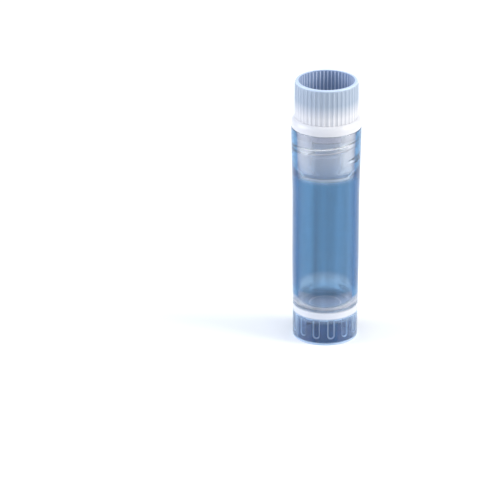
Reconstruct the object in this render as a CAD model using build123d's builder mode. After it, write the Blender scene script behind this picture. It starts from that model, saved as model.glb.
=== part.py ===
from build123d import *
from math import cos, radians, sin
import os

# Screw-cap storage vial, self-standing, 2 ml. Millimetres, +Z up,
# origin at the centre of the base ring on the plane it stands on.
# Three moulded pieces: tube, sealing ring, cap (drawn screwed home).

# ---- tube: outside ----
tube_height = 40.2
mouth_radius = 6.25
mouth_land = 1.7          # straight band under the mouth
neck_length = 11.0        # slow taper from the band down to the body
neck_step = 0.27          # the body is this much slimmer than the mouth
foot_taper_height = 15.0  # below this the body tapers again
foot_taper_step = 0.18    # and loses this much of its radius
base_edge_chamfer = 0.22
mouth_edge_chamfer = 0.1

# ---- tube: inside ----
mouth_wall = 1.0          # wall over the thread bore
body_wall = 1.0           # wall over the cavity
cavity_corner_round = 1.45
floor_thickness = 1.3

# ---- tube: skirt that it stands on ----
skirt_height = 4.9        # table to the underside of the floor
skirt_wall = 0.8
skirt_roof_chamfer = 0.35
skirt_foot_chamfer = 0.15
rib_count = 12
rib_first_angle = 12.3
rib_width = 1.4
rib_depth = 0.5
rib_foot_gap = 0.9        # the ribs stop this far above the table

# ---- thread: right-hand, one start, same lead on tube and cap ----
thread_lead = 3.0
thread_root_width = 1.3
thread_crest_width = 0.5
thread_depth = 0.4
thread_play = 0.15        # radial gap, crest to the facing wall
flank_gap = 0.1           # axial gap between the facing flanks
thread_bury = 0.12        # how deep the ridge is rooted in its wall
thread_end_gap = 0.2      # from the cap thread's top to the sealing ring
cap_thread_angle = 460
tube_thread_angle = 420
run_in_angle = 60         # the crest fades in and out over this angle
section_angle = 20
bore_runout = 0.35        # the bore stays full this far below the thread
bore_cone = 1.6           # height of the cone from the bore to the cavity

# ---- cap ----
collar_gap = 0.05
collar_land = 0.45
shoulder_height = 1.3
shoulder_bulge = 0.12
shoulder_lip = 0.03       # the shoulder ends this far outside the grip ribs
head_height = 8.45        # exposed part, collar face to rim
head_step = 0.55          # the head is this much slimmer than the collar
head_wall = 0.61          # between the feet of the grip and drive ribs
rim_chamfer = 0.22
grip_count = 42
grip_height = 0.17
grip_width = 0.5
drive_rib_count = 45
drive_rib_height = 0.17
drive_rib_width = 0.42
rib_root = 0.03           # how deep those fine ribs are rooted in the wall
drive_floor_rise = 0.3    # floor of the drive bore above the shoulder
well_cone = 0.7
plug_wall = 1.1
plug_floor = 1.0
well_floor_chamfer = 0.4
plug_lead_in = 2.05       # smooth end of the plug below its thread
plug_tip_draft = 0.1
plug_tip_chamfer = 0.5

# ---- sealing ring ----
seal_height = 1.4
seal_seat_step = 0.25     # its seat is this much wider than the bore
seal_seat_play = 0.05
seal_plug_play = 0.2

# ---- radii that follow from the sizes above ----
body_radius = mouth_radius - neck_step
base_radius = body_radius - foot_taper_step
cavity_radius = body_radius - body_wall
skirt_radius = base_radius - skirt_wall
thread_bore_radius = mouth_radius - mouth_wall
plug_radius = thread_bore_radius - thread_depth - thread_play
seal_seat_radius = thread_bore_radius + seal_seat_step
head_radius = mouth_radius - head_step
head_root_radius = head_radius - grip_height
drive_bore_radius = head_root_radius - head_wall
well_radius = plug_radius - plug_wall

# ---- thread form ----
flank_slope = (thread_root_width - thread_crest_width) / 2 / thread_depth
ridge_foot_width = thread_root_width + 2 * flank_slope * thread_bury
flank_reach = flank_slope * (thread_bore_radius - plug_radius)

# ---- levels ----
cavity_floor_z = skirt_height + floor_thickness
neck_foot_z = tube_height - mouth_land - neck_length
collar_z = tube_height + collar_gap
shoulder_foot_z = collar_z + collar_land
shoulder_z = shoulder_foot_z + shoulder_height
rim_z = collar_z + head_height
drive_floor_z = shoulder_z + drive_floor_rise
seal_foot_z = collar_z - seal_height
seal_seat_z = seal_foot_z - seal_seat_play
cap_thread_top_z = seal_foot_z - thread_end_gap - ridge_foot_width / 2
cap_thread_z = cap_thread_top_z - thread_lead * cap_thread_angle / 360
tube_thread_z = cap_thread_z + thread_root_width - flank_reach + flank_gap
thread_foot_z = cap_thread_z - ridge_foot_width / 2
bore_foot_z = thread_foot_z - bore_runout
plug_foot_z = thread_foot_z - plug_lead_in
well_floor_z = plug_foot_z + plug_floor


# ---- tube thread: helical ridge rooted in the bore, crest inward ----
with BuildPart() as tube_thread:
    for turned in range(0, tube_thread_angle + 1, section_angle):
        angle = radians(turned - run_in_angle)
        level = tube_thread_z + thread_lead * (turned - run_in_angle) / 360
        grown = min(1, turned / run_in_angle, (tube_thread_angle - turned) / run_in_angle)
        height = thread_bury / 2 + (thread_depth + thread_bury / 2) * grown
        half_crest = ridge_foot_width / 2 - flank_slope * height
        foot_radius = thread_bore_radius + thread_bury
        outward = (cos(angle), sin(angle), 0)
        across = (sin(angle), -cos(angle), 0)
        with BuildSketch(Plane(origin=(0, 0, level), x_dir=outward, z_dir=across)):
            with BuildLine():
                Polyline(
                    (foot_radius, -ridge_foot_width / 2),
                    (foot_radius, ridge_foot_width / 2),
                    (foot_radius - height, half_crest),
                    (foot_radius - height, -half_crest),
                    close=True,
                )
            make_face()
    loft()


# ---- one skirt rib: a pad with a round lower end and a flat inner face ----
rib_end_z = rib_foot_gap + rib_width / 2
rib_top_z = skirt_height + floor_thickness / 2
with BuildPart() as skirt_rib:
    with BuildSketch(Plane.YZ.offset(skirt_radius - rib_depth)):
        with BuildLine():
            Line((rib_width / 2, rib_top_z), (rib_width / 2, rib_end_z))
            ThreePointArc((rib_width / 2, rib_end_z), (0, rib_foot_gap), (-rib_width / 2, rib_end_z))
            Line((-rib_width / 2, rib_end_z), (-rib_width / 2, rib_top_z))
            Line((-rib_width / 2, rib_top_z), (rib_width / 2, rib_top_z))
        make_face()
    extrude(amount=rib_depth + skirt_wall / 3)


# ---- tube: body, cavity, thread and ribbed skirt in one piece ----
with BuildPart() as tube:
    # outside: straight band, tapering neck, straight body, tapering foot
    with BuildSketch(Plane.XZ):
        with BuildLine():
            Polyline(
                (0, 0),
                (base_radius, 0),
                (body_radius, foot_taper_height),
                (body_radius, neck_foot_z),
                (mouth_radius, tube_height - mouth_land),
                (mouth_radius, tube_height),
                (0, tube_height),
                close=True,
            )
        make_face()
        foot_corner = vertices().group_by(Axis.Y)[0].sort_by(Axis.X)[-1]
        chamfer(foot_corner, length=base_edge_chamfer)
        mouth_corner = vertices().group_by(Axis.Y)[-1].sort_by(Axis.X)[-1]
        chamfer(mouth_corner, length=mouth_edge_chamfer)
    revolve(axis=Axis.Z)
    # inside: seal seat, thread bore, cavity with a round corner
    with BuildSketch(Plane.XZ):
        with BuildLine():
            Polyline(
                (0, cavity_floor_z),
                (cavity_radius, cavity_floor_z),
                (cavity_radius, bore_foot_z - bore_cone),
                (thread_bore_radius, bore_foot_z),
                (thread_bore_radius, seal_seat_z),
                (seal_seat_radius, seal_seat_z),
                (seal_seat_radius, tube_height),
                (0, tube_height),
                close=True,
            )
        make_face()
        cavity_corner = vertices().group_by(Axis.Y)[0].sort_by(Axis.X)[-1]
        fillet(cavity_corner, radius=cavity_corner_round)
    revolve(axis=Axis.Z, mode=Mode.SUBTRACT)
    # underside: hollow skirt closed by the floor
    with BuildSketch(Plane.XZ):
        with BuildLine():
            Polyline(
                (0, 0),
                (skirt_radius + skirt_foot_chamfer, 0),
                (skirt_radius, skirt_foot_chamfer),
                (skirt_radius, skirt_height - skirt_roof_chamfer),
                (skirt_radius - skirt_roof_chamfer, skirt_height),
                (0, skirt_height),
                close=True,
            )
        make_face()
    revolve(axis=Axis.Z, mode=Mode.SUBTRACT)
    with PolarLocations(0, rib_count, start_angle=rib_first_angle):
        add(skirt_rib.part)
    add(tube_thread.part)

tube.part.label = "tube"


# ---- cap thread: helical ridge rooted in the plug, crest outward ----
with BuildPart() as cap_thread:
    for turned in range(0, cap_thread_angle + 1, section_angle):
        angle = radians(turned)
        level = cap_thread_z + thread_lead * turned / 360
        grown = min(1, turned / run_in_angle, (cap_thread_angle - turned) / run_in_angle)
        height = thread_bury / 2 + (thread_depth + thread_bury / 2) * grown
        half_crest = ridge_foot_width / 2 - flank_slope * height
        foot_radius = plug_radius - thread_bury
        outward = (cos(angle), sin(angle), 0)
        across = (sin(angle), -cos(angle), 0)
        with BuildSketch(Plane(origin=(0, 0, level), x_dir=outward, z_dir=across)):
            with BuildLine():
                Polyline(
                    (foot_radius, -ridge_foot_width / 2),
                    (foot_radius + height, -half_crest),
                    (foot_radius + height, half_crest),
                    (foot_radius, ridge_foot_width / 2),
                    close=True,
                )
            make_face()
    loft()


# ---- cap: ribbed head, flared collar, hollow threaded plug in one piece ----
with BuildPart() as cap:
    # head with its fine grip ribs, the rim chamfered across them
    with BuildSketch(Plane.XY.offset(shoulder_z)):
        Circle(head_root_radius)
        with PolarLocations(head_root_radius - rib_root, grip_count):
            Polygon(
                (0, -grip_width / 2),
                (grip_height + rib_root, 0),
                (0, grip_width / 2),
                align=None,
            )
    extrude(amount=rim_z - shoulder_z)
    with BuildSketch(Plane.XZ):
        with BuildLine():
            Polyline(
                (0, shoulder_z),
                (mouth_radius, shoulder_z),
                (mouth_radius, rim_z - rim_chamfer - head_step),
                (head_radius - rim_chamfer, rim_z),
                (0, rim_z),
                close=True,
            )
        make_face()
    revolve(axis=Axis.Z, mode=Mode.INTERSECT)
    # collar flush with the tube, its bulging shoulder, and the plug below it
    with BuildSketch(Plane.XZ):
        with BuildLine():
            shoulder = SagittaArc(
                (head_radius + shoulder_lip, shoulder_z),
                (mouth_radius, shoulder_foot_z),
                shoulder_bulge,
            )
            Polyline(
                shoulder @ 1,
                (mouth_radius, collar_z),
                (plug_radius, collar_z),
                (plug_radius, thread_foot_z),
                (plug_radius - plug_tip_draft, plug_foot_z + plug_tip_chamfer),
                (plug_radius - plug_tip_draft - plug_tip_chamfer, plug_foot_z),
                (0, plug_foot_z),
                (0, shoulder_z),
                shoulder @ 0,
            )
        make_face()
    revolve(axis=Axis.Z)
    # ribbed drive bore, open at the rim
    with BuildSketch(Plane.XY.offset(drive_floor_z)):
        Circle(drive_bore_radius)
        with PolarLocations(drive_bore_radius + rib_root, drive_rib_count):
            Polygon(
                (0, -drive_rib_width / 2),
                (0, drive_rib_width / 2),
                (-drive_rib_height - rib_root, 0),
                align=None,
                mode=Mode.SUBTRACT,
            )
    extrude(amount=rim_z - drive_floor_z, mode=Mode.SUBTRACT)
    # smooth well on down into the plug, entered by a cone
    with BuildSketch(Plane.XZ):
        with BuildLine():
            Polyline(
                (0, well_floor_z),
                (well_radius - well_floor_chamfer, well_floor_z),
                (well_radius, well_floor_z + well_floor_chamfer),
                (well_radius, drive_floor_z - well_cone),
                (drive_bore_radius - drive_rib_height, drive_floor_z),
                (0, drive_floor_z),
                close=True,
            )
        make_face()
    revolve(axis=Axis.Z, mode=Mode.SUBTRACT)
    add(cap_thread.part)

cap.part.label = "cap"


# ---- sealing ring: soft washer under the collar, held up by the cap thread ----
with BuildPart() as seal_ring:
    with BuildSketch(Plane.XY.offset(seal_foot_z)):
        Circle(seal_seat_radius - seal_seat_play)
        Circle(plug_radius + seal_plug_play, mode=Mode.SUBTRACT)
    extrude(amount=seal_height)

seal_ring.part.label = "seal_ring"


# ---- export ----
os.makedirs("parts", exist_ok=True)
export_step(tube.part, "parts/tube.step")
export_step(cap.part, "parts/cap.step")
export_step(seal_ring.part, "parts/seal_ring.step")
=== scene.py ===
"""Looks and stage for a self-standing screw-cap storage vial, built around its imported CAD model."""

from collections import namedtuple
from math import atan2, ceil, cos, hypot, pi, radians, sin, tan

import bmesh
import bpy
from bpy.props import FloatProperty, FloatVectorProperty, IntProperty, PointerProperty
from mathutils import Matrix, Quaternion, Vector


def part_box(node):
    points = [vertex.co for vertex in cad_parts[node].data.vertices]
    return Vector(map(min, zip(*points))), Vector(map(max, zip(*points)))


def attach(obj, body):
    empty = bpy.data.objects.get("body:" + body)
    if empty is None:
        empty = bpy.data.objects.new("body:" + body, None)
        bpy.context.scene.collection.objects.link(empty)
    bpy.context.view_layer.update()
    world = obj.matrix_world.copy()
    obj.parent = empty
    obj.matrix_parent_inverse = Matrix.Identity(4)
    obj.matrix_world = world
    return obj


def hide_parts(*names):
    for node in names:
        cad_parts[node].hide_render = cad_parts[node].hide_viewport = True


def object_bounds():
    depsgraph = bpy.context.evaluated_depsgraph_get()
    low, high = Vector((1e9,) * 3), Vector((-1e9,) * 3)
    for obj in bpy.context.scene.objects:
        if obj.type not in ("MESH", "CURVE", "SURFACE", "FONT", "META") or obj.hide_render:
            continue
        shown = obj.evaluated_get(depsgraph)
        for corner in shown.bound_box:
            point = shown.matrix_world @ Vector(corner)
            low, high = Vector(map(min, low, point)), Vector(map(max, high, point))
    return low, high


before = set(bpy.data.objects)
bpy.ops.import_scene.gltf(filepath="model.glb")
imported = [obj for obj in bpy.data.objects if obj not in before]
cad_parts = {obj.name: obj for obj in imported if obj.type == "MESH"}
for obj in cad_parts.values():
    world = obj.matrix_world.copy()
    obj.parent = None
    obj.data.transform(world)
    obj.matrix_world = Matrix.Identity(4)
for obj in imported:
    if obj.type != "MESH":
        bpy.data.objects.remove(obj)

bl_info = {
    "name": "Screw-Cap Storage Vial",
    "version": (1, 0, 0),
    "blender": (4, 5, 0),
    "location": "View3D > Sidebar > Vial",
    "description": "Models a self-standing storage vial with its screw cap, sealing ring and studio",
    "category": "Add Mesh",
}

MM = 0.001
CAD_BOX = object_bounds()
TUBE_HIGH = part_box("tube")[1]
CAP_LOW, CAP_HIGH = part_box("cap")
SEAL_LOW, SEAL_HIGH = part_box("seal_ring")

# Lengths that differ by less than TOUCH count as the same.
TOUCH = 0.0002 * MM

# A round corner gets a face for every ROUND_STEP that it turns, and never fewer than this.
ROUND_STEP = radians(15)
LEAST_ROUND_FACES = 4

# A long plain wall gets a narrow row of faces at each end, which keeps its shading straight.
HOLD_ROW = 0.05 * MM

# Rows of faces on the walls that a rib or a thread is pushed out of.
ROOF_CHAMFER_ROWS = 3
RIB_ROWS = 42
TUBE_THREAD_ROWS = 52
CAP_THREAD_ROWS = 62
GRIP_FADE_ROWS = 4

# Share of the light that polypropylene lets through where it is clear and where it is milkiest.
CLEAR = 0.97
MILKY = 0.1
POLYPROPYLENE_IOR = 1.49

# Light of every colour spreads equally far inside white plastic and silicone.
EVEN_SCATTER = (1.0, 1.0, 1.0)


def linear(hex_colour):
    """Turns an sRGB hex colour into Blender's linear red, green and blue."""
    parts = [int(hex_colour[start : start + 2], 16) / 255 for start in (1, 3, 5)]
    return [part / 12.92 if part <= 0.04045 else ((part + 0.055) / 1.055) ** 2.4 for part in parts]


def length(name, millimetres, description):
    """A length that a user can change, given in millimetres and kept in metres."""
    return FloatProperty(
        name=name,
        description=description,
        default=millimetres * MM,
        min=0,
        precision=5,
        unit="LENGTH",
    )


def angle(name, degrees, description):
    """An angle that a user can change, given in degrees and kept in radians."""
    return FloatProperty(name=name, description=description, default=radians(degrees), subtype="ANGLE")


def count(name, default, description):
    """A number of like forms that a user can change."""
    return IntProperty(name=name, description=description, default=default, min=1)


def colour(name, hex_colour, description):
    """A colour that a user can change."""
    return FloatVectorProperty(
        name=name,
        description=description,
        default=linear(hex_colour),
        min=0,
        max=1,
        size=3,
        subtype="COLOR",
    )


# ---- sizes and colours ----


class ThreadSizes(bpy.types.PropertyGroup):
    """The screw thread that the tube and the cap share."""

    lead: length("Lead", 3.0, "Rise of the thread in one turn")
    root_width: length("Root width", 1.3, "Width of the ridge where it leaves its wall")
    crest_width: length("Crest width", 0.5, "Width of the ridge at its top")
    depth: length("Depth", 0.4, "Height of the ridge above its wall")
    play: length("Play", 0.15, "Radial gap between a crest and the facing wall")
    flank_gap: length("Flank gap", 0.1, "Axial gap between the facing flanks")
    bury: length("Bury", 0.12, "How deep the ridge is rooted in its wall")
    end_gap: length("End gap", 0.2, "From the top of the cap's thread to the sealing ring")
    cap_turn: angle("Cap thread", 460, "How far the cap's thread winds round the plug")
    tube_turn: angle("Tube thread", 420, "How far the tube's thread winds round the bore")
    run_in: angle("Run-in", 60, "Angle over which the crest fades in and out")


class TubeSizes(bpy.types.PropertyGroup):
    """Sizes and tints of the clear tube."""

    mouth_land: length("Mouth land", 1.7, "Straight band under the mouth")
    neck_length: length("Neck length", 11.0, "Taper from the band down to the body")
    neck_step: length("Neck step", 0.27, "How much slimmer the body is than the mouth")
    foot_taper_height: length("Foot taper height", 15.0, "Below this the body tapers again")
    foot_taper_step: length("Foot taper step", 0.18, "How much radius the foot taper takes off")
    mouth_wall: length("Mouth wall", 1.0, "Wall over the thread bore")
    body_wall: length("Body wall", 1.0, "Wall over the cavity")
    bore_cone: length("Bore cone", 1.6, "Height of the cone from the bore to the cavity")
    cone_blend: length("Cone blend", 8.0, "Blend at both ends of the bore's cone")
    bore_runout: length("Bore run-out", 0.35, "Full bore below the cap's thread")
    seat_step: length("Seat step", 0.25, "How much wider the sealing ring's seat is than the bore")
    seat_play: length("Seat play", 0.05, "Gap under and around the sealing ring")
    corner_round: length("Cavity corner", 1.45, "Round where the cavity wall meets its floor")
    floor_thickness: length("Floor thickness", 1.3, "Thickness of the cavity's floor")
    ring_radius: length("Floor ring", 2.8, "Radius of the fine ring on the cavity's floor")
    ring_width: length("Floor ring width", 0.3, "Width of the fine ring")
    ring_rise: length("Floor ring rise", 0.08, "Height of the fine ring")
    skirt_height: length("Skirt height", 4.9, "From the table to the underside of the floor")
    skirt_wall: length("Skirt wall", 0.8, "Wall of the skirt that the tube stands on")
    skirt_roof_chamfer: length("Skirt roof chamfer", 0.35, "Chamfer between the skirt and the floor")
    edge_round: length("Edge round", 0.1, "Round on the mouth, the floor ring and the roof's chamfer")
    seat_round: length("Seat round", 0.05, "Round on the edges of the sealing ring's seat")
    foot_inner_round: length("Inner foot round", 0.12, "Round on the inner edge that stands on the table")
    foot_outer_round: length("Outer foot round", 0.2, "Round on the outer edge that stands on the table")
    rib_count: count("Skirt ribs", 12, "Ribs inside the skirt, which lock the vial in its rack")
    rib_first_angle: angle("First rib", 12.3, "Angle of the first rib about the axis")
    rib_width: length("Rib width", 1.4, "Width of a skirt rib")
    rib_depth: length("Rib depth", 0.5, "How far a skirt rib stands out of its wall")
    rib_foot_gap: length("Rib foot gap", 0.9, "How far above the table the ribs end")
    rib_side: length("Rib side", 0.3, "Drafted side of a skirt rib")
    body_tint: colour("Body tint", "#487fa8", "Blue cast of the body's outer skin")
    edge_tint: colour("Edge tint", "#14508c", "Deeper cast of the outer skin seen edge-on")
    neck_tint: colour("Neck tint", "#f2f6fa", "Pale cast of the outer skin over the threads")
    foot_tint: colour("Foot tint", "#f3f7fd", "Pale cast of the outer skin at the cavity's floor")
    skirt_tint: colour("Skirt tint", "#b4d0ea", "Pale cast of the skirt's outer skin")
    # Painted highlight on the skirt's lower edge.
    foot_rim_highlight: colour("Foot rim tint", "#c4dcf7", "Lower edge of the skirt, which gathers light")
    cavity_tint: colour("Cavity tint", "#fcecec", "What the cavity's wall takes off the light")
    # The cavity's round corner: partly milky, partly painted light.
    corner_milk_and_light: colour("Corner tint", "#c4dcf6", "What the cavity's round corner takes off the light")
    floor_tint: colour("Floor tint", "#e2f0ff", "Milky floor of the cavity")
    # Milky underside of the thick floor, with a painted highlight along the roof's chamfer.
    roof_milk_and_highlight: colour("Roof tint", "#d3e7ff", "Milky underside of the thick floor")
    # Painted shade in the skirt's hollow.
    hollow_shade: colour("Hollow tint", "#0f5aa4", "What the skirt's inner skin takes off the light")
    bore_foot_tint: colour("Bore foot tint", "#cbe2f8", "Cast of the lowest part of the thread bore")
    # Milky plastic, and also the colour of painted highlights on the cavity's walls and in the thread.
    milk_and_highlight_tint: colour("Milky tint", "#f9f8fb", "Milky plastic of the thick floor and the threads")
    # Painted highlight along the sides of the skirt's ribs.
    rib_highlight: colour("Rib tint", "#dceafc", "Milky edges of the skirt's ribs")
    # Painted light on the cone under the bore, where it is seen edge-on.
    cone_light_tint: colour("Cone tint", "#8fb4dc", "Cone under the bore, seen edge-on")


class CapSizes(bpy.types.PropertyGroup):
    """Sizes and colours of the cap."""

    collar_land: length("Collar land", 0.45, "Straight band of the collar")
    collar_round: length("Collar round", 0.05, "Round on the collar's lower edge")
    shoulder_height: length("Shoulder height", 1.3, "Height of the bulging shoulder")
    shoulder_bulge: length("Shoulder bulge", 0.12, "How far the shoulder bulges past a plain cone")
    shoulder_lip: length("Shoulder lip", 0.03, "The shoulder ends this far outside the grip ribs")
    shoulder_foot_round: length("Shoulder foot round", 0.3, "Round between the collar and the shoulder")
    shoulder_crest_round: length("Shoulder crest round", 1.2, "Round of the shoulder's bulge")
    shoulder_top_round: length("Shoulder top round", 0.08, "Round on the shoulder's top edge")
    head_step: length("Head step", 0.55, "How much slimmer the head is than the collar")
    head_wall: length("Head wall", 0.61, "Wall between the feet of the outer and inner ribs")
    head_foot_round: length("Head foot round", 0.05, "Round where the head's walls meet their floors")
    rim_round: length("Rim round", 0.22, "Round on the outer edge of the rim")
    bore_round: length("Bore round", 0.1, "Round on the inner edge of the rim")
    grip_count: count("Grip ribs", 42, "Fine ribs round the head")
    grip_height: length("Grip height", 0.17, "Height of a grip rib")
    grip_width: length("Grip width", 0.5, "Width of a grip rib")
    grip_fade: length("Grip fade", 0.45, "Height over which the grip ribs die out under the rim")
    drive_count: count("Drive ribs", 45, "Ribs in the drive bore")
    drive_height: length("Drive height", 0.17, "Height of a drive rib")
    drive_width: length("Drive width", 0.42, "Width of a drive rib")
    drive_floor_rise: length("Drive floor rise", 0.3, "Floor of the drive bore above the shoulder")
    well_cone: length("Well cone", 0.7, "Height of the cone from the drive bore to the well")
    well_lip_round: length("Well lip round", 0.03, "Round where the cone leaves the drive bore's floor")
    well_cone_round: length("Well cone round", 0.3, "Round between the cone and the well")
    well_floor_chamfer: length("Well floor chamfer", 0.4, "Corner of the well's floor")
    plug_wall: length("Plug wall", 1.1, "Wall of the hollow plug")
    plug_floor: length("Plug floor", 1.0, "Thickness of the plug's closed end")
    plug_draft: length("Plug draft", 0.1, "How much the plug narrows below its thread")
    plug_tip: length("Plug tip", 0.5, "Rounded edge of the plug's end")
    plug_root_round: length("Plug root round", 0.1, "Round where the plug meets the collar")
    plug_white: colour("Plug white", "#cedcee", "Milky plastic of the plug, thin and a little bluish")
    # Painted highlight on the plug's rounded end.
    tip_highlight: colour("Tip white", "#dfe6ef", "Rounded end of the plug")
    white_edge: length("White edge", 0.175, "Height over which the plug turns into the collar's white")
    white_height: length("White height", 2.97, "How far the collar's white reaches over its foot")
    # Where the head's painted shade is full.
    grey_height: length("Grey height", 5.417, "Where the head is all grey, over the collar's foot")
    collar_white: colour("Collar white", "#cbcbcf", "Thick, milky collar")
    # Painted shade on the head's thin wall.
    head_shade: colour("Head grey", "#98a4b4", "Thin wall of the head, where less of the plastic is lit")
    rim_white: colour("Rim white", "#bccbe0", "Rim of the head")
    drive_grey: colour("Drive grey", "#8496b6", "Shade between the ribs of the drive bore")
    drive_white: colour("Drive white", "#c4cfe0", "Ribs of the drive bore")


class RingSizes(bpy.types.PropertyGroup):
    """Sizes and colours of the sealing ring."""

    plug_gap: length("Plug gap", 0.2, "Gap between the sealing ring and the plug")
    edge_round: length("Edge round", 0.15, "Round on the ring's edges")
    light_lavender: colour("Light lavender", "#d8dbea", "Silicone where the surface is lit")
    deep_lavender: colour("Deep lavender", "#cccfe0", "Silicone in the hollows of its grain")


class StageSizes(bpy.types.PropertyGroup):
    """Camera, floor and surroundings."""

    distance: length("Distance", 780, "Distance of the camera from the middle of the vial")
    lens: FloatProperty(name="Lens", description="Focal length in millimetres", default=314.6, min=1)
    elevation: angle("Elevation", 22.3, "How far the camera looks down on the middle of the vial")
    aim_left: angle("Aim left", 0.99, "How far the camera looks past the vial's left side")
    aim_low: angle("Aim low", 0.56, "How far the camera looks below the vial's middle")
    roll: angle("Roll", 0.4, "Lean of the camera")
    floor_radius: length("Floor radius", 4000, "Radius of the floor")
    floor_colour: colour("Floor", "#f4f5f7", "Pale matt floor")
    sky_colour: colour("Surroundings", "#dbe3ee", "Soft light from all round")
    sky_strength: FloatProperty(
        name="Surroundings strength",
        description="How bright the light from all round is",
        default=0.85,
        min=0,
    )


# ---- shaping ----

Station = namedtuple("Station", "radius height round rows", defaults=(0, 0))


def draw_half_section(mesh, stations):
    """Draws the outline that is spun, as a wire through stations.

    A station is (radius, height), with the round of its corner and the rows of faces on the way to
    the next station where it has them."""
    stations = [Station(*station) for station in stations]
    places = [Vector((station.radius, 0, station.height)) for station in stations]
    corners = [mesh.verts.new(place) for place in places]
    for start, end in zip(corners, corners[1:]):
        mesh.edges.new((start, end))
    turns = zip(places, places[1:], places[2:], corners[1:], stations[1:])
    for before, here, after, corner, station in turns:
        if station.round:
            round_corner(mesh, corner, station.round, (here - before).angle(after - here))
    for start, end, station in zip(places, places[1:], stations):
        divide_run(mesh, start, end, station.rows)


def round_corner(mesh, corner, corner_round, turning):
    """Rounds a corner of the wire, which turns by this angle there."""
    bmesh.ops.bevel(
        mesh,
        geom=[corner],
        offset=corner_round * tan(turning / 2),
        offset_type="OFFSET",
        segments=max(LEAST_ROUND_FACES, ceil(turning / ROUND_STEP)),
        profile=0.5,
        affect="VERTICES",
        material=-1,
        clamp_overlap=False,
    )


def divide_run(mesh, start, end, rows):
    """Divides the straight run between two places, into rows or with a holding row at each end."""
    run = straight_run(mesh, start, end)
    if rows:
        bmesh.ops.subdivide_edges(mesh, edges=[run], cuts=rows)
    elif run.calc_length() > 4 * HOLD_ROW:
        for far_place in (end, start):
            run = straight_run(mesh, start, end)
            nearer = min(run.verts, key=lambda vert: (vert.co - far_place).length)
            bmesh.utils.edge_split(run, nearer, HOLD_ROW / run.calc_length())


def straight_run(mesh, start, end):
    """The longest edge of the wire on the straight line from start to end."""
    along = (end - start).normalized()
    runs = []
    for edge in mesh.edges:
        reaches = [(vert.co - start).dot(along) for vert in edge.verts]
        off_line = max((vert.co - start - along * reach).length for vert, reach in zip(edge.verts, reaches))
        inside = min(reaches) > -TOUCH and max(reaches) < (end - start).length + TOUCH
        if off_line < TOUCH and inside:
            runs.append(edge)
    return max(runs, key=lambda edge: edge.calc_length())


def turn_round(mesh, sectors, steps):
    """Spins the half section into one sector, and the sector all the way round to a closed solid."""
    sector = 2 * pi / sectors
    about_axis = {"cent": (0, 0, 0), "axis": (0, 0, 1), "dvec": (0, 0, 0)}
    bmesh.ops.spin(
        mesh,
        geom=mesh.verts[:] + mesh.edges[:],
        angle=sector,
        steps=steps,
        **about_axis,
    )
    bmesh.ops.spin(
        mesh,
        geom=mesh.verts[:] + mesh.edges[:] + mesh.faces[:],
        angle=2 * pi - sector,
        steps=sectors - 1,
        use_duplicate=True,
        **about_axis,
    )
    bmesh.ops.remove_doubles(mesh, verts=mesh.verts, dist=5 * TOUCH)
    bmesh.ops.recalc_face_normals(mesh, faces=mesh.faces)


def soft_step(share):
    """Rises smoothly from 0 to 1 as the share does."""
    share = min(1.0, max(0.0, share))
    return share * share * (3 - 2 * share)


def set_radius(vert, radius):
    """Moves a vertex straight out from or in to the axis."""
    old = hypot(vert.co.x, vert.co.y)
    vert.co.x *= radius / old
    vert.co.y *= radius / old


def from_rib(vert, ribs, first_angle):
    """Angle from this vertex to the nearest of the ribs, which stand at equal angles."""
    pitch = 2 * pi / ribs
    return (atan2(vert.co.y, vert.co.x) - first_angle + pitch / 2) % pitch - pitch / 2


def rib_height(vert, ribs, radius, width, height):
    """Height of a rounded rib at this vertex, on a wall of this radius."""
    return height * soft_step(1 - abs(from_rib(vert, ribs, 0)) * radius / (width / 2))


def ridge_height(vert, start_angle, start_height, winding, thread):
    """Height of a thread's ridge over its wall at this vertex: a helix that fades in and out."""
    turned = (atan2(vert.co.y, vert.co.x) - start_angle) % (2 * pi)
    flank = (thread.root_width - thread.crest_width) / 2
    highest = 0.0
    while turned <= winding:
        off_middle = abs(vert.co.z - start_height - thread.lead * turned / (2 * pi))
        grown = soft_step(min(1, turned / thread.run_in, (winding - turned) / thread.run_in))
        rise = soft_step((thread.root_width / 2 - off_middle) / flank)
        highest = max(highest, thread.depth * grown * rise)
        turned += 2 * pi
    return highest


def make_piece(name, mesh, material, body, node):
    """Turns the bmesh into a smooth piece that rides on its body and stands for its CAD node."""
    for face in mesh.faces:
        face.smooth = True
    data = bpy.data.meshes.new(name)
    mesh.to_mesh(data)
    mesh.free()
    piece = bpy.data.objects.new(name, data)
    bpy.context.scene.collection.objects.link(piece)
    data.materials.append(material)
    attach(piece, body)
    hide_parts(node)


# ---- materials ----

Measured = namedtuple("Measured", "place height share radius facing")


def add_node(material, kind, inputs=None, stops=None, **settings):
    """Adds a node.

    An input is a value, a socket to link, or a node to link by its first output in use. Stops fill
    a colour ramp, each with its position, colour and alpha."""
    tree = material.node_tree
    node = tree.nodes.new(kind)
    for name, value in settings.items():
        setattr(node, name, value)
    for name, value in (inputs or {}).items():
        if isinstance(value, bpy.types.Node):
            value = next(output for output in value.outputs if output.enabled)
        if isinstance(value, bpy.types.NodeSocket):
            tree.links.new(value, node.inputs[name])
        else:
            node.inputs[name].default_value = value
    if stops:
        ramp = node.color_ramp
        while len(ramp.elements) < len(stops):
            ramp.elements.new(0.5)
        for element, (position, shade, alpha) in zip(ramp.elements, stops):
            element.position = position
            element.color = (*shade, alpha)
    return node


def band(low, full_from, full_to, high, strength=1.0):
    """Colour-ramp stops of a band that fades in, holds this strength and fades out again."""
    dark = (0, 0, 0)
    lit = (strength, strength, strength)
    return [(low, dark, 1), (full_from, lit, 1), (full_to, lit, 1), (high, dark, 1)]


def height_stops(low, high, rows):
    """Colour-ramp stops from (height, colour, alpha) rows, for a ramp from a low to a high level."""
    return [((height - low) / (high - low), shade, alpha) for height, shade, alpha in rows]


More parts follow.
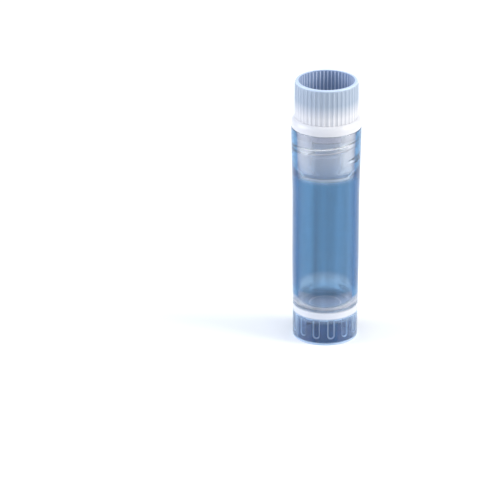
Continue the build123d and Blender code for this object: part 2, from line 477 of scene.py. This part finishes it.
def fade(value, start, end, at_start=0.0, at_end=1.0):
    """Inputs of a map-range node, which fades from one result to another as its value goes from
    start to end."""
    return {"Value": value, "From Min": start, "From Max": end, "To Min": at_start, "To Max": at_end}


def new_material(name):
    """A material whose node tree is still empty."""
    material = bpy.data.materials.new(name)
    material.use_nodes = True
    material.node_tree.nodes.clear()
    return material


def measure(material, low, high):
    """What a material can tell about each point: its place, its height, the share of the way from a
    low to a high level that this is, its distance from the axis, and how edge-on it is seen, which
    runs from 0 face-on to 1 edge-on."""
    place = add_node(material, "ShaderNodeTexCoord").outputs["Object"]
    height = add_node(material, "ShaderNodeSeparateXYZ", {"Vector": place}).outputs["Z"]
    share = add_node(material, "ShaderNodeMapRange", fade(height, low, high))
    flat = add_node(material, "ShaderNodeVectorMath", {0: place, 1: (1, 1, 0)}, operation="MULTIPLY")
    radius = add_node(material, "ShaderNodeVectorMath", {0: flat}, operation="LENGTH")
    facing = add_node(material, "ShaderNodeLayerWeight", {"Blend": 0.5}).outputs["Facing"]
    return Measured(place, height, share, radius, facing)


def skirt_painted_light(material, seen, tube):
    """Strength of the painted highlight, in milky white, along the sides of the skirt's ribs, and more
    faintly in the skirt's own wall where it is seen edge-on."""
    roof = tube.skirt_height
    wall = TUBE_HIGH.x - tube.neck_step - tube.foot_taper_step - tube.skirt_wall
    rib_share = add_node(material, "ShaderNodeMapRange", fade(seen.radius, wall - tube.rib_depth, wall))
    rib_side = add_node(material, "ShaderNodeValToRGB", {"Fac": rib_share}, stops=band(0.0, 0.15, 0.85, 1.0))
    edge_on = add_node(material, "ShaderNodeMapRange", fade(seen.facing, 0.07, 0.24, at_end=0.36))
    light = add_node(material, "ShaderNodeMath", {0: rib_side, 1: edge_on}, operation="MAXIMUM")
    under_roof = add_node(
        material, "ShaderNodeMapRange", fade(seen.height, roof - 0.5 * MM, roof - 0.6 * MM)
    )
    return add_node(material, "ShaderNodeMath", {0: light, 1: under_roof}, operation="MULTIPLY")


def cavity_painted_light(material, seen, tube):
    """Strength of the painted highlight, in milky white, on the fine ring and in the round corner of the
    cavity's floor.
    """
    roof = tube.skirt_height
    floor = roof + tube.floor_thickness
    spread = 0.4 * MM
    ring_share = add_node(
        material,
        "ShaderNodeMapRange",
        fade(seen.radius, tube.ring_radius - spread, tube.ring_radius + spread),
    )
    ring = add_node(material, "ShaderNodeValToRGB", {"Fac": ring_share}, stops=band(0.1, 0.4, 0.6, 0.9))
    window = band(floor + 0.03 * MM, floor + 0.2 * MM, floor + 0.9 * MM, floor + 2.2 * MM)
    corner_window = add_node(
        material, "ShaderNodeValToRGB", {"Fac": seen.share}, stops=height_stops(0, TUBE_HIGH.z, window)
    )
    edge_on = add_node(material, "ShaderNodeMapRange", fade(seen.facing, 0.12, 0.24))
    corner = add_node(material, "ShaderNodeMath", {0: corner_window, 1: edge_on}, operation="MULTIPLY")
    light = add_node(material, "ShaderNodeMath", {0: ring, 1: corner}, operation="MAXIMUM")
    over_roof = add_node(
        material, "ShaderNodeMapRange", fade(seen.height, roof + 0.1 * MM, roof + 0.2 * MM)
    )
    return add_node(material, "ShaderNodeMath", {0: light, 1: over_roof}, operation="MULTIPLY")


def cone_painted_light(material, seen):
    """Strength of the painted light that lightens the cone under the bore where it is seen edge-on."""
    foot = CAP_LOW.z
    window = band(foot - 0.6 * MM, foot + 0.1 * MM, foot + 1.2 * MM, foot + 2.2 * MM, strength=0.9)
    cone_window = add_node(
        material, "ShaderNodeValToRGB", {"Fac": seen.share}, stops=height_stops(0, TUBE_HIGH.z, window)
    )
    edge_on = add_node(material, "ShaderNodeMapRange", fade(seen.facing, 0.2, 0.32))
    return add_node(material, "ShaderNodeMath", {0: cone_window, 1: edge_on}, operation="MULTIPLY")


def bore_painted_light(material, seen, tube, cone):
    """Strength of the painted light, in milky white, from the cone's lower edge up: the cone's own, a
    painted highlight in a fine line round the cone's foot, and the sides of the thread bore, most of all
    on the thread's ridge, where it stands for glints of the thread."""
    foot = CAP_LOW.z
    bore = TUBE_HIGH.x - tube.mouth_wall
    line = band(foot + 0.05 * MM, foot + 0.2 * MM, foot + 0.65 * MM, foot + 0.8 * MM)
    cone_foot = add_node(
        material, "ShaderNodeValToRGB", {"Fac": seen.share}, stops=height_stops(0, TUBE_HIGH.z, line)
    )
    cone_and_foot_light = add_node(material, "ShaderNodeMath", {0: cone, 1: cone_foot}, operation="MAXIMUM")
    over_cone = add_node(
        material, "ShaderNodeMapRange", fade(seen.height, foot + 1.0 * MM, foot + 1.8 * MM)
    )
    neck_side = add_node(
        material,
        "ShaderNodeValToRGB",
        {"Fac": seen.facing},
        stops=band(0.05, 0.12, 0.2, 0.3, strength=0.55),
    )
    neck_side_light = add_node(material, "ShaderNodeMath", {0: over_cone, 1: neck_side}, operation="MULTIPLY")
    on_ridge = add_node(
        material,
        "ShaderNodeMapRange",
        fade(seen.radius, bore - 0.1 * MM, bore - 0.3 * MM, at_start=1.0, at_end=1.8),
    )
    thread_glints = add_node(material, "ShaderNodeMath", {0: neck_side_light, 1: on_ridge}, operation="MULTIPLY")
    return add_node(material, "ShaderNodeMath", {0: cone_and_foot_light, 1: thread_glints}, operation="MAXIMUM")


def painted_light_streaks(material, seen, skin, clearness):
    """Factor on the tint that paints light and shade in long soft streaks up the clear outer skin.

    They are 4 mm wide and fifty times as long, so they run up the whole wall.
    They are faint in the neck, where the bore and the thread hide them."""
    streak_width = 4.0 * MM
    stretch = (1, 1, 0.02)
    # Where in the noise the streaks are taken from, which sets where the painted lighter and darker streaks
    # fall.
    where_in_noise = (-0.013, 0.029, 0)
    stretched = add_node(
        material, "ShaderNodeMapping", {"Vector": seen.place, "Location": where_in_noise, "Scale": stretch}
    )
    streaks = add_node(
        material, "ShaderNodeTexNoise", {"Vector": stretched, "Scale": 1 / streak_width, "Detail": 2.0}
    )
    strength = add_node(
        material, "ShaderNodeMapRange", fade(streaks, 0.3, 0.7, at_start=0.58, at_end=1.35)
    )
    see_through = add_node(material, "ShaderNodeMapRange", fade(clearness, 0.6, CLEAR))
    foot = CAP_LOW.z
    below_neck = add_node(
        material, "ShaderNodeMapRange", fade(seen.height, foot + 1.8 * MM, foot - 1.8 * MM, at_start=0.3)
    )
    clear_skin = add_node(material, "ShaderNodeMath", {0: skin, 1: see_through}, operation="MULTIPLY")
    streaky = add_node(material, "ShaderNodeMath", {0: clear_skin, 1: below_neck}, operation="MULTIPLY")
    return add_node(material, "ShaderNodeMix", {"Factor": streaky, "A": 1.0, "B": strength})


def clear_polypropylene(tube):
    """Clear injection-moulded polypropylene: see-through and glossy, with a blue cast.

    The outer skin gives the blue, deeper where it is seen edge-on, and the inner skin takes a little
    light away. The plastic is milky in the thick floor, which cooled slowly, and the floor's white band
    is partly painted light. Painted highlights in milky white stand where an edge would catch light: on
    the cavity's fine ring and round corner, on the cone, in the thread and on the skirt's ribs. The
    skirt's hollow has painted shade, and soft streaks of painted light and shade run up the wall. It is
    duller where it is milkiest."""
    material = new_material("clear moulded polypropylene")
    top = TUBE_HIGH.z
    seen = measure(material, 0, top)
    roof = tube.skirt_height
    floor = roof + tube.floor_thickness
    plug_foot = CAP_LOW.z

    # Tint of each skin from the table up, with how clear it is there as its alpha.
    outer_rows = [
        # Painted highlight: the foot's lower edge, pale and milky.
        (0.35 * MM, tube.foot_rim_highlight, 0.3),
        (0.55 * MM, tube.skirt_tint, CLEAR),
        (roof - 0.8 * MM, tube.skirt_tint, CLEAR),
        (roof - 0.6 * MM, tube.skirt_tint, 0.8),
        (roof, tube.skirt_tint, 0.72),
        # The thick floor: milky plastic, and partly painted light in its white band.
        (roof + 0.3 * MM, tube.milk_and_highlight_tint, 0.45),
        (floor, tube.milk_and_highlight_tint, 0.45),
        (floor + 0.3 * MM, tube.foot_tint, CLEAR),
        (floor + 1.8 * MM, tube.foot_tint, CLEAR),
        (floor + 3.8 * MM, tube.body_tint, CLEAR),
        (plug_foot - 0.2 * MM, tube.body_tint, CLEAR),
        (plug_foot + 1.0 * MM, tube.neck_tint, CLEAR),
    ]
    inner_rows = [
        # Painted shade: the skirt's hollow, in a deep blue.
        (roof - 0.5 * MM, tube.hollow_shade, CLEAR),
        # The underside of the thick floor: milky, with a painted highlight along the roof's chamfer.
        (roof - 0.4 * MM, tube.roof_milk_and_highlight, MILKY),
        (floor, tube.floor_tint, 0.2),
        # The cavity's round corner: partly milky, partly painted light that lightens it.
        (floor + 0.15 * MM, tube.corner_milk_and_light, 0.6),
        (floor + 0.8 * MM, tube.corner_milk_and_light, 0.7),
        (floor + 1.4 * MM, tube.corner_milk_and_light, 0.95),
        (floor + 3.0 * MM, tube.cavity_tint, CLEAR),
        (plug_foot + 0.3 * MM, tube.cavity_tint, CLEAR),
        (plug_foot + 1.0 * MM, tube.bore_foot_tint, CLEAR),
        # Painted highlight: the thread bore turns pale and a little milky upwards.
        (plug_foot + 4.5 * MM, tube.milk_and_highlight_tint, 0.9),
    ]
    outer, inner = [
        add_node(material, "ShaderNodeValToRGB", {"Fac": seen.share}, stops=height_stops(0, top, rows))
        for rows in (outer_rows, inner_rows)
    ]

    # The outer skin, deeper where it is seen edge-on, but not round the milky floor.
    edge_on = add_node(material, "ShaderNodeMapRange", fade(seen.facing, 0.33, 0.5))
    over_floor = add_node(
        material, "ShaderNodeMapRange", fade(seen.height, floor + 1.0 * MM, floor + 2.4 * MM)
    )
    deepening = add_node(material, "ShaderNodeMath", {0: edge_on, 1: over_floor}, operation="MULTIPLY")
    outside = add_node(
        material,
        "ShaderNodeMix",
        {"Factor": deepening, "A": outer, "B": (*tube.edge_tint, 1)},
        data_type="RGBA",
    )

    # The inner skin, with painted highlights in milky white where an edge would catch light.
    ribs = skirt_painted_light(material, seen, tube)
    cavity = cavity_painted_light(material, seen, tube)
    cone = cone_painted_light(material, seen)
    bore = bore_painted_light(material, seen, tube, cone)
    walls = add_node(material, "ShaderNodeMath", {0: cavity, 1: bore}, operation="MAXIMUM")
    milky = add_node(material, "ShaderNodeMath", {0: ribs, 1: walls}, operation="MAXIMUM")
    # Colours of the painted highlights: milky white on the walls, blue on the cone, pale on the ribs.
    wall_highlight = add_node(
        material,
        "ShaderNodeMix",
        {"Factor": cone, "A": (*tube.milk_and_highlight_tint, 1), "B": (*tube.cone_light_tint, 1)},
        data_type="RGBA",
    )
    milk = add_node(
        material,
        "ShaderNodeMix",
        {"Factor": ribs, "A": wall_highlight, "B": (*tube.rib_highlight, 1)},
        data_type="RGBA",
    )
    inside = add_node(material, "ShaderNodeMix", {"Factor": milky, "A": inner, "B": milk}, data_type="RGBA")
    inside_clear = add_node(
        material, "ShaderNodeMix", {"Factor": milky, "A": inner.outputs["Alpha"], "B": MILKY}
    )

    # The inner skin reaches no further out than the sealing ring's seat; beyond it is the outer skin.
    seat = TUBE_HIGH.x - tube.mouth_wall + tube.seat_step
    skin = add_node(
        material, "ShaderNodeMapRange", fade(seen.radius, seat + 0.02 * MM, seat + 0.12 * MM)
    )
    tint = add_node(material, "ShaderNodeMix", {"Factor": skin, "A": inside, "B": outside}, data_type="RGBA")
    clearness = add_node(
        material, "ShaderNodeMix", {"Factor": skin, "A": inside_clear, "B": outer.outputs["Alpha"]}
    )
    dullness = add_node(
        material, "ShaderNodeMapRange", fade(clearness, MILKY, 0.2, at_start=0.3, at_end=0.06)
    )
    # Painted light and shade in soft streaks over the clear outer skin.
    cast = painted_light_streaks(material, seen, skin, outer.outputs["Alpha"])
    streaked = add_node(material, "ShaderNodeVectorMath", {0: tint, "Scale": cast}, operation="SCALE")
    shader = add_node(
        material,
        "ShaderNodeBsdfPrincipled",
        {
            "Base Color": streaked,
            "Roughness": dullness,
            "IOR": POLYPROPYLENE_IOR,
            "Transmission Weight": clearness,
        },
    )
    add_node(material, "ShaderNodeOutputMaterial", {"Surface": shader})
    return material


def milky_polypropylene(cap):
    """Natural polypropylene, moulded: milky white and satin, with painted shade that greys the head's thin
    wall.

    The thin plug lets some light through where it is seen face-on, and its ramp has that thinness as
    its alpha. The drive bore is shaded between its ribs."""
    material = new_material("milky moulded polypropylene")
    foot = CAP_LOW.z
    collar = SEAL_HIGH.z
    rim = CAP_HIGH.z
    seen = measure(material, foot, rim)
    rows = [
        # Painted highlight on the plug's rounded end.
        (foot + cap.plug_tip, cap.tip_highlight, 0),
        (foot + cap.plug_tip + 0.3 * MM, cap.plug_white, 1),
        (collar - cap.white_edge, cap.plug_white, 1),
        (collar, cap.collar_white, 0),
        (collar + cap.white_height, cap.collar_white, 0),
        # Painted shade on the head's thin wall, lighter again at the rim.
        (collar + cap.grey_height, cap.head_shade, 0),
        (rim - 0.35 * MM, cap.head_shade, 0),
        (rim - 0.1 * MM, cap.rim_white, 0),
    ]
    outside = add_node(
        material, "ShaderNodeValToRGB", {"Fac": seen.share}, stops=height_stops(foot, rim, rows)
    )
    drive = CAP_HIGH.x - cap.head_step - cap.grip_height - cap.head_wall
    rib_share = add_node(
        material, "ShaderNodeMapRange", fade(seen.radius, drive - cap.drive_height, drive)
    )
    inside = add_node(
        material,
        "ShaderNodeValToRGB",
        {"Fac": rib_share},
        stops=[(0.1, cap.drive_white, 1), (0.75, cap.drive_grey, 1)],
    )
    in_bore = add_node(
        material, "ShaderNodeMapRange", fade(seen.radius, drive + 0.1 * MM, drive + 0.05 * MM)
    )
    over_well = add_node(
        material, "ShaderNodeMapRange", fade(seen.height, collar + 1.0 * MM, collar + 1.5 * MM)
    )
    hollow = add_node(material, "ShaderNodeMath", {0: in_bore, 1: over_well}, operation="MULTIPLY")
    shade = add_node(
        material, "ShaderNodeMix", {"Factor": hollow, "A": outside, "B": inside}, data_type="RGBA"
    )
    face_on = add_node(material, "ShaderNodeMapRange", fade(seen.facing, 0.3, 0.03))
    thin = add_node(
        material, "ShaderNodeMath", {0: outside.outputs["Alpha"], 1: face_on}, operation="MULTIPLY"
    )
    clearness = add_node(material, "ShaderNodeMath", {0: thin, 1: 0.3}, operation="MULTIPLY")
    shader = add_node(
        material,
        "ShaderNodeBsdfPrincipled",
        {
            "Base Color": shade,
            "Roughness": 0.32,
            "IOR": POLYPROPYLENE_IOR,
            "Transmission Weight": clearness,
            "Subsurface Weight": 0.3,
            "Subsurface Radius": EVEN_SCATTER,
            "Subsurface Scale": 0.6 * MM,
        },
    )
    add_node(material, "ShaderNodeOutputMaterial", {"Surface": shader})
    return material


def satin_silicone(ring):
    """Moulded silicone: soft, translucent and satin, a little lavender next to the white cap.

    Its real grain, a few hundredths of a millimetre, is too fine to show, so it is drawn coarser."""
    material = new_material("satin moulded silicone")
    grain_size = 0.4 * MM
    place = add_node(material, "ShaderNodeTexCoord").outputs["Object"]
    grain = add_node(material, "ShaderNodeTexNoise", {"Vector": place, "Scale": 1 / grain_size})
    shade = add_node(
        material,
        "ShaderNodeValToRGB",
        {"Fac": grain},
        stops=[(0.3, ring.deep_lavender, 1), (0.7, ring.light_lavender, 1)],
    )
    shader = add_node(
        material,
        "ShaderNodeBsdfPrincipled",
        {
            "Base Color": shade,
            "Roughness": 0.45,
            "IOR": 1.41,
            "Subsurface Weight": 0.4,
            "Subsurface Radius": EVEN_SCATTER,
            "Subsurface Scale": 0.5 * MM,
        },
    )
    add_node(material, "ShaderNodeOutputMaterial", {"Surface": shader})
    return material


def matt_board(shade):
    """Pale matt studio board, with the faintest mottling in patches of about 33 mm."""
    material = new_material("pale matt board")
    patch = 100 / 3 * MM
    darker = [part * 0.985 for part in shade]
    place = add_node(material, "ShaderNodeTexCoord").outputs["Object"]
    mottle = add_node(material, "ShaderNodeTexNoise", {"Vector": place, "Scale": 1 / patch})
    tone = add_node(
        material, "ShaderNodeValToRGB", {"Fac": mottle}, stops=[(0.3, darker, 1), (0.7, shade, 1)]
    )
    shader = add_node(material, "ShaderNodeBsdfPrincipled", {"Base Color": tone, "Roughness": 0.7})
    add_node(material, "ShaderNodeOutputMaterial", {"Surface": shader})
    return material


# ---- pieces ----

ThreadLevels = namedtuple("ThreadLevels", "cap tube foot")


def thread_levels(thread):
    """Heights of the middle of the cap's and of the tube's thread at angle 0, where the cap's thread
    starts, and of the cap's thread's lower edge there."""
    slope = (thread.root_width - thread.crest_width) / 2 / thread.depth
    foot_width = thread.root_width + 2 * slope * thread.bury
    reach = slope * (thread.depth + thread.play)
    cap_top = SEAL_LOW.z - thread.end_gap - foot_width / 2
    cap_level = cap_top - thread.lead * thread.cap_turn / (2 * pi)
    tube_level = cap_level + thread.root_width - reach + thread.flank_gap
    return ThreadLevels(cap_level, tube_level, cap_level - foot_width / 2)


def plug_radius(tube, thread):
    """Radius of the plug; its thread stands out of it and leaves play to the bore."""
    return CAP_HIGH.x - tube.mouth_wall - thread.depth - thread.play


class VIAL_OT_add_tube(bpy.types.Operator):
    """Models the clear tube with its inside thread and ribbed skirt"""

    bl_idname = "vial.add_tube"
    bl_label = "Add Tube"

    def execute(self, context):
        tube = context.scene.vial_tube
        thread = context.scene.vial_thread
        levels = thread_levels(thread)
        mouth = TUBE_HIGH.x
        body = mouth - tube.neck_step
        base = body - tube.foot_taper_step
        cavity = body - tube.body_wall
        skirt = base - tube.skirt_wall
        bore = mouth - tube.mouth_wall
        seat = bore + tube.seat_step
        top = TUBE_HIGH.z
        roof = tube.skirt_height
        cavity_floor = roof + tube.floor_thickness
        neck_top = top - tube.mouth_land
        bore_foot = levels.foot - tube.bore_runout
        seat_foot = SEAL_LOW.z - tube.seat_play
        ring_out = tube.ring_radius + tube.ring_width / 2
        ring_in = tube.ring_radius - tube.ring_width / 2
        edge = tube.edge_round
        mesh = bmesh.new()
        draw_half_section(
            mesh,
            [
                (0, roof),
                (skirt - tube.skirt_roof_chamfer, roof, edge, ROOF_CHAMFER_ROWS),
                (skirt, roof - tube.skirt_roof_chamfer, edge, RIB_ROWS),
                (skirt, 0, tube.foot_inner_round),
                (base, 0, tube.foot_outer_round),
                (body, tube.foot_taper_height),
                (body, neck_top - tube.neck_length),
                (mouth, neck_top),
                (mouth, top, edge),
                (seat, top, tube.seat_round),
                (seat, seat_foot, tube.seat_round),
                (bore, seat_foot, tube.seat_round, TUBE_THREAD_ROWS),
                (bore, bore_foot, tube.cone_blend),
                (cavity, bore_foot - tube.bore_cone, tube.cone_blend),
                (cavity, cavity_floor, tube.corner_round),
                (ring_out, cavity_floor, edge),
                (tube.ring_radius, cavity_floor + tube.ring_rise, edge),
                (ring_in, cavity_floor, edge),
                (0, cavity_floor),
            ],
        )
        turn_round(mesh, sectors=12, steps=38)
        rib_face = skirt - tube.rib_depth
        rib_middle = (tube.rib_width - tube.rib_side) / 2
        rib_end = tube.rib_foot_gap + tube.rib_width / 2
        thread_start = levels.tube - thread.lead * thread.run_in / (2 * pi)
        for vert in mesh.verts:
            radius = hypot(vert.co.x, vert.co.y)
            height = vert.co.z
            if abs(radius - bore) < TOUCH and bore_foot < height < seat_foot:
                ridge = ridge_height(vert, -thread.run_in, thread_start, thread.tube_turn, thread)
                set_radius(vert, bore - ridge)
            elif rib_face < radius < skirt + TOUCH and 0 < height < roof + TOUCH:
                across = from_rib(vert, tube.rib_count, tube.rib_first_angle) * skirt
                off_middle = hypot(across, min(0, height - rib_end))
                raised = soft_step(0.5 + (rib_middle - off_middle) / tube.rib_side)
                set_radius(vert, radius - (radius - rib_face) * raised)
        make_piece("tube_moulding", mesh, clear_polypropylene(tube), "tube", "tube")
        return {"FINISHED"}


class VIAL_OT_add_cap(bpy.types.Operator):
    """Models the cap: ribbed head, collar and hollow threaded plug"""

    bl_idname = "vial.add_cap"
    bl_label = "Add Cap"

    def execute(self, context):
        cap = context.scene.vial_cap
        tube = context.scene.vial_tube
        thread = context.scene.vial_thread
        levels = thread_levels(thread)
        collar = CAP_HIGH.x
        head = collar - cap.head_step
        root = head - cap.grip_height
        drive = root - cap.head_wall
        drive_crest = drive - cap.drive_height
        shoulder = head + cap.shoulder_lip
        plug = plug_radius(tube, thread)
        well = plug - cap.plug_wall
        rim = CAP_HIGH.z
        collar_foot = SEAL_HIGH.z
        shoulder_foot = collar_foot + cap.collar_land
        shoulder_top = shoulder_foot + cap.shoulder_height
        drive_floor = shoulder_top + cap.drive_floor_rise
        foot = CAP_LOW.z
        well_floor = foot + cap.plug_floor
        # The crest's corner stands out twice as far as the bulge, because its round cuts it back.
        chord = Vector((collar - shoulder, shoulder_foot - shoulder_top))
        bulge = Vector((-chord.y, chord.x)).normalized() * cap.shoulder_bulge * 2
        shoulder_crest = Vector((shoulder, shoulder_top)) + chord / 2 + bulge
        mesh = bmesh.new()
        draw_half_section(
            mesh,
            [
                (0, foot),
                (plug - cap.plug_draft, foot, cap.plug_tip),
                (plug, levels.foot, 0, CAP_THREAD_ROWS),
                (plug, collar_foot, cap.plug_root_round),
                (collar, collar_foot, cap.collar_round),
                (collar, shoulder_foot, cap.shoulder_foot_round),
                (*shoulder_crest, cap.shoulder_crest_round),
                (shoulder, shoulder_top, cap.shoulder_top_round),
                (root, shoulder_top, cap.head_foot_round),
                (root, rim - cap.grip_fade, 0, GRIP_FADE_ROWS),
                (root, rim, cap.rim_round),
                (drive, rim, cap.bore_round),
                (drive, drive_floor, cap.head_foot_round),
                (drive_crest, drive_floor, cap.well_lip_round),
                (well, drive_floor - cap.well_cone, cap.well_cone_round),
                (well, well_floor, cap.well_floor_chamfer),
                (0, well_floor),
            ],
        )
        turn_round(mesh, sectors=14, steps=39)

        # Both sets of ribs die out where the rounds of the rim begin.
        for vert in mesh.verts:
            radius = hypot(vert.co.x, vert.co.y)
            height = vert.co.z
            if abs(radius - plug) < TOUCH and height < collar_foot:
                ridge = ridge_height(vert, 0, levels.cap, thread.cap_turn, thread)
                set_radius(vert, plug + ridge)
            elif root - TOUCH < radius and height > shoulder_top - TOUCH:
                grown = soft_step((rim - height) / cap.grip_fade - 0.5)
                rib = rib_height(vert, cap.grip_count, root, cap.grip_width, cap.grip_height)
                set_radius(vert, max(radius, root + rib * grown))
            elif drive_crest - TOUCH < radius < drive + TOUCH and height > drive_floor - TOUCH:
                grown = soft_step((rim - height) / cap.bore_round - 1)
                rib = rib_height(vert, cap.drive_count, drive, cap.drive_width, cap.drive_height)
                set_radius(vert, min(radius, drive - rib * grown))
        make_piece("cap_moulding", mesh, milky_polypropylene(cap), "cap", "cap")
        return {"FINISHED"}


class VIAL_OT_add_sealing_ring(bpy.types.Operator):
    """Models the soft sealing ring under the collar"""

    bl_idname = "vial.add_sealing_ring"
    bl_label = "Add Sealing Ring"

    def execute(self, context):
        ring = context.scene.vial_ring
        tube = context.scene.vial_tube
        thread = context.scene.vial_thread
        outer = SEAL_HIGH.x
        inner = plug_radius(tube, thread) + ring.plug_gap
        middle = (SEAL_LOW.z + SEAL_HIGH.z) / 2
        mesh = bmesh.new()
        draw_half_section(
            mesh,
            [
                (inner, middle),
                (inner, SEAL_LOW.z, ring.edge_round),
                (outer, SEAL_LOW.z, ring.edge_round),
                (outer, SEAL_HIGH.z, ring.edge_round),
                (inner, SEAL_HIGH.z, ring.edge_round),
                (inner, middle),
            ],
        )
        turn_round(mesh, sectors=12, steps=15)
        make_piece("sealing_ring_moulding", mesh, satin_silicone(ring), "seal", "seal_ring")
        return {"FINISHED"}


# ---- stage ----


def add_floor(radius, shade):
    """A round floor under the vial, for the stage only."""
    mesh = bmesh.new()
    bmesh.ops.create_circle(mesh, cap_ends=True, segments=64, radius=radius)
    floor_data = bpy.data.meshes.new("floor")
    mesh.to_mesh(floor_data)
    mesh.free()
    floor = bpy.data.objects.new("floor", floor_data)
    floor.location.z = CAD_BOX[0].z
    floor_data.materials.append(matt_board(shade))
    bpy.context.scene.collection.objects.link(floor)


def set_surroundings(shade, strength):
    """Soft light of one colour from all round."""
    world = bpy.data.worlds.new("soft surroundings")
    world.use_nodes = True
    background = world.node_tree.nodes["Background"]
    background.inputs["Color"].default_value = (*shade, 1)
    background.inputs["Strength"].default_value = strength
    bpy.context.scene.world = world


def add_softbox(name, target, place, size, watts, shade):
    """A square soft light at a place, turned to face the target."""
    lamp = bpy.data.lights.new(name, "AREA")
    lamp.shape = "SQUARE"
    lamp.size = size
    lamp.energy = watts
    lamp.color = linear(shade)
    light = bpy.data.objects.new(name, lamp)
    light.location = place
    light.rotation_euler = (target - Vector(place)).to_track_quat("-Z", "Y").to_euler()
    bpy.context.scene.collection.objects.link(light)


def add_camera(stage, target):
    """The camera, which looks a little past the target and leans a little."""
    lens = bpy.data.cameras.new("camera")
    lens.lens = stage.lens
    lens.sensor_width = 36
    lens.clip_start = 0.01
    lens.clip_end = 20
    camera = bpy.data.objects.new("camera", lens)
    bpy.context.scene.collection.objects.link(camera)
    back = Vector((0, -cos(stage.elevation), sin(stage.elevation)))
    camera.rotation_mode = "QUATERNION"
    camera.location = target + back * stage.distance
    camera.rotation_quaternion = (
        (-back).to_track_quat("-Z", "Y")
        @ Quaternion((0, 1, 0), stage.aim_left)
        @ Quaternion((1, 0, 0), -stage.aim_low)
        @ Quaternion((0, 0, 1), stage.roll)
    )
    bpy.context.scene.camera = camera


class VIAL_OT_set_stage(bpy.types.Operator):
    """Sets the pale floor, the soft lights and the camera"""

    bl_idname = "vial.set_stage"
    bl_label = "Set Stage"

    def execute(self, context):
        stage = context.scene.vial_stage
        middle = (CAD_BOX[0] + CAD_BOX[1]) / 2
        add_floor(stage.floor_radius, stage.floor_colour)
        set_surroundings(stage.sky_colour, stage.sky_strength)
        add_softbox("key_softbox", middle, (0.55, -0.12, 0.30), size=0.30, watts=3.2, shade="#fffaf2")
        add_softbox("fill_softbox", middle, (-0.55, -0.05, 0.24), size=0.30, watts=2.3, shade="#f6f8ff")
        add_softbox("top_softbox", middle, (0.0, -0.15, 0.75), size=0.50, watts=1.6, shade="#ffffff")
        add_camera(stage, middle)
        context.scene.view_settings.view_transform = "Standard"
        return {"FINISHED"}


class VIAL_PT_panel(bpy.types.Panel):
    """The vial's pieces, sizes and studio"""

    bl_idname = "VIAL_PT_panel"
    bl_label = "Storage Vial"
    bl_space_type = "VIEW_3D"
    bl_region_type = "UI"
    bl_category = "Vial"

    def draw(self, context):
        scene = context.scene
        for operator, groups in (
            (VIAL_OT_add_tube, (scene.vial_tube, scene.vial_thread)),
            (VIAL_OT_add_cap, (scene.vial_cap,)),
            (VIAL_OT_add_sealing_ring, (scene.vial_ring,)),
            (VIAL_OT_set_stage, (scene.vial_stage,)),
        ):
            box = self.layout.box()
            box.operator(operator.bl_idname)
            for group in groups:
                for name in group.__annotations__:
                    box.prop(group, name)


CLASSES = (
    ThreadSizes,
    TubeSizes,
    CapSizes,
    RingSizes,
    StageSizes,
    VIAL_OT_add_tube,
    VIAL_OT_add_cap,
    VIAL_OT_add_sealing_ring,
    VIAL_OT_set_stage,
    VIAL_PT_panel,
)


def register():
    for entry in CLASSES:
        bpy.utils.register_class(entry)
    bpy.types.Scene.vial_thread = PointerProperty(type=ThreadSizes)
    bpy.types.Scene.vial_tube = PointerProperty(type=TubeSizes)
    bpy.types.Scene.vial_cap = PointerProperty(type=CapSizes)
    bpy.types.Scene.vial_ring = PointerProperty(type=RingSizes)
    bpy.types.Scene.vial_stage = PointerProperty(type=StageSizes)


def unregister():
    del bpy.types.Scene.vial_stage
    del bpy.types.Scene.vial_ring
    del bpy.types.Scene.vial_cap
    del bpy.types.Scene.vial_tube
    del bpy.types.Scene.vial_thread
    for entry in reversed(CLASSES):
        bpy.utils.unregister_class(entry)


def main():
    register()
    bpy.ops.vial.add_tube()
    bpy.ops.vial.add_cap()
    bpy.ops.vial.add_sealing_ring()
    bpy.ops.vial.set_stage()


if __name__ == "__main__":
    main()
